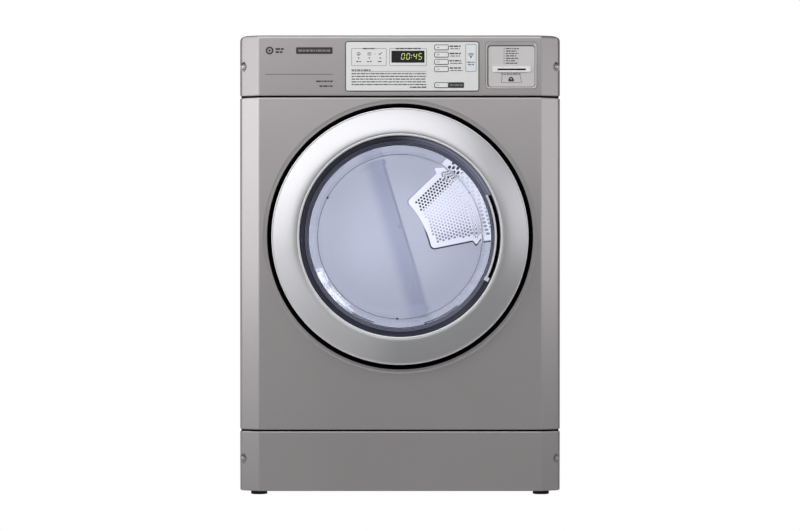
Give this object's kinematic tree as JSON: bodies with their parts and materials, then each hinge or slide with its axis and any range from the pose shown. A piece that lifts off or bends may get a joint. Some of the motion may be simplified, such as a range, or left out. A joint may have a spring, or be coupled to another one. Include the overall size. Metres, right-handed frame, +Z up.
{
  "type": "tumble dryer",
  "caption": "Front-loading commercial tumble dryer with a round glazed door, a rotating drum, a control strip with push buttons and a card reader, and a belt drive inside",
  "frame": {"origin": "on the floor, under the middle of the overall box", "axes": "+X to the right seen from the front, +Y from the front to the back, +Z up"},
  "size_m": [0.686, 0.767, 0.983],
  "materials": {
    "body_paint": "satin metallic grey paint",
    "side_paint": "satin grey paint",
    "galvanised": "bare galvanised sheet",
    "drum_steel": "smooth bright steel",
    "ring_silver": "satin silver",
    "dark_plastic": "glossy blue-grey",
    "black_plastic": "matt",
    "white_plastic": "satin",
    "glass": "clear",
    "display_glass": "glossy",
    "rubber": "matt",
    "felt": "pressed felt",
    "circuit_board": "satin",
    "heater_wire": "heat-stained",
    "cast_metal": "painted casting",
    "plain_steel": "zinc-plated"
  },
  "bodies": {
    "cabinet": {"base_pan": "galvanised", "side_panel_left": "side_paint", "side_panel_right": "side_paint", "rear_panel": "galvanised", "top_panel": "side_paint", "front_panel": "body_paint", "kick_panel": "body_paint", "control_panel": "body_paint", "control_fascia": "white_plastic", "display_window": "display_glass", "card_reader_panel": "body_paint", "card_slot_bezel": "white_plastic", "control_board": "circuit_board", "front_bulkhead": "galvanised", "rear_bulkhead": "galvanised", "air_inlet_grille": "drum_steel", "drum_seal_front": "felt", "heater_duct": "galvanised", "heater_coil": "heater_wire", "lint_duct": "white_plastic", "blower_housing": "black_plastic", "exhaust_duct": "galvanised", "motor_housing": "cast_metal", "drive_belt": "rubber", "idler_spring": "plain_steel", "roller_axle_left": "plain_steel", "roller_axle_right": "plain_steel", "hinge_bracket": "plain_steel", "hinge_pin": "plain_steel", "door_latch": "black_plastic", "control_screw_left": "plain_steel", "control_screw_right": "plain_steel", "kick_screw_left": "plain_steel", "kick_screw_right": "plain_steel"},
    "door": {"door_ring": "ring_silver", "door_frame": "dark_plastic", "door_glass": "glass", "door_gasket": "rubber", "hinge_leaf": "plain_steel", "door_strike": "plain_steel"},
    "drum": {"drum_shell": "drum_steel", "baffle_1": "drum_steel", "baffle_2": "drum_steel", "baffle_3": "drum_steel"},
    "motor_rotor": {"motor_shaft": "plain_steel", "blower_wheel": "white_plastic"},
    "tension_arm": {"idler_arm": "galvanised"},
    "tension_pulley": {"idler_pulley": "black_plastic"},
    "support_roller_left": {"drum_roller_left": "rubber"},
    "support_roller_right": {"drum_roller_right": "rubber"},
    "filter": {"lint_filter": "white_plastic"},
    "button_high_body": {"button_high": "white_plastic"},
    "button_medium_body": {"button_medium": "white_plastic"},
    "button_low_body": {"button_low": "white_plastic"},
    "button_no_heat_body": {"button_no_heat": "white_plastic"},
    "button_start_body": {"button_start": "white_plastic"},
    "foot_front_left_body": {"foot_front_left": "rubber"},
    "foot_front_right_body": {"foot_front_right": "rubber"},
    "foot_rear_left_body": {"foot_rear_left": "rubber"},
    "foot_rear_right_body": {"foot_rear_right": "rubber"}
  },
  "joints": [
    {"name": "door_hinge", "type": "hinge", "parent": "cabinet", "child": "door", "pos_m": [-0.26, -0.354, 0.553], "axis": [0, 0, -1], "range_deg": [0, 140]},
    {"name": "drum_spin", "type": "hinge", "parent": "cabinet", "child": "drum", "pos_m": [0, 0, 0.585], "axis": [0, 1, 0], "continuous": true},
    {"name": "motor_spin", "type": "hinge", "parent": "cabinet", "child": "motor_rotor", "pos_m": [0.095, 0, 0.135], "axis": [0, 1, 0], "continuous": true},
    {"name": "tension_arm_swing", "type": "hinge", "parent": "cabinet", "child": "tension_arm", "pos_m": [0.01, 0.0132, 0.062], "axis": [0, -1, 0], "range_deg": [0, 12], "deforming": ["idler_spring"]},
    {"name": "tension_pulley_spin", "type": "hinge", "parent": "tension_arm", "child": "tension_pulley", "pos_m": [0.024, 0, 0.15], "axis": [0, 1, 0], "continuous": true},
    {"name": "roller_left_spin", "type": "hinge", "parent": "cabinet", "child": "support_roller_left", "pos_m": [-0.22133, 0.266, 0.30171], "axis": [0, 1, 0], "continuous": true},
    {"name": "roller_right_spin", "type": "hinge", "parent": "cabinet", "child": "support_roller_right", "pos_m": [0.22133, 0.266, 0.30171], "axis": [0, 1, 0], "continuous": true},
    {"name": "filter_lift", "type": "slide", "parent": "cabinet", "child": "filter", "axis": [0, 0, 1], "range_m": [0, 0.2]},
    {"name": "button_high_press", "type": "slide", "parent": "cabinet", "child": "button_high_body", "axis": [0, 1, 0], "range_m": [0, 0.0012], "stiffness_N_per_m": 400},
    {"name": "button_medium_press", "type": "slide", "parent": "cabinet", "child": "button_medium_body", "axis": [0, 1, 0], "range_m": [0, 0.0012], "stiffness_N_per_m": 400},
    {"name": "button_low_press", "type": "slide", "parent": "cabinet", "child": "button_low_body", "axis": [0, 1, 0], "range_m": [0, 0.0012], "stiffness_N_per_m": 400},
    {"name": "button_no_heat_press", "type": "slide", "parent": "cabinet", "child": "button_no_heat_body", "axis": [0, 1, 0], "range_m": [0, 0.0012], "stiffness_N_per_m": 400},
    {"name": "button_start_press", "type": "slide", "parent": "cabinet", "child": "button_start_body", "axis": [0, 1, 0], "range_m": [0, 0.0012], "stiffness_N_per_m": 400},
    {"name": "foot_front_left_level", "type": "slide", "parent": "cabinet", "child": "foot_front_left_body", "axis": [0, 0, -1], "range_m": [0, 0.02]},
    {"name": "foot_front_right_level", "type": "slide", "parent": "cabinet", "child": "foot_front_right_body", "axis": [0, 0, -1], "range_m": [0, 0.02]},
    {"name": "foot_rear_left_level", "type": "slide", "parent": "cabinet", "child": "foot_rear_left_body", "axis": [0, 0, -1], "range_m": [0, 0.02]},
    {"name": "foot_rear_right_level", "type": "slide", "parent": "cabinet", "child": "foot_rear_right_body", "axis": [0, 0, -1], "range_m": [0, 0.02]}
  ],
  "couplings": [
    {"joint": "motor_spin", "follows": "drum_spin", "ratio": 26.388},
    {"joint": "tension_pulley_spin", "follows": "drum_spin", "ratio": -10.686},
    {"joint": "roller_left_spin", "follows": "drum_spin", "ratio": -8.4474},
    {"joint": "roller_right_spin", "follows": "drum_spin", "ratio": -8.4474}
  ]
}
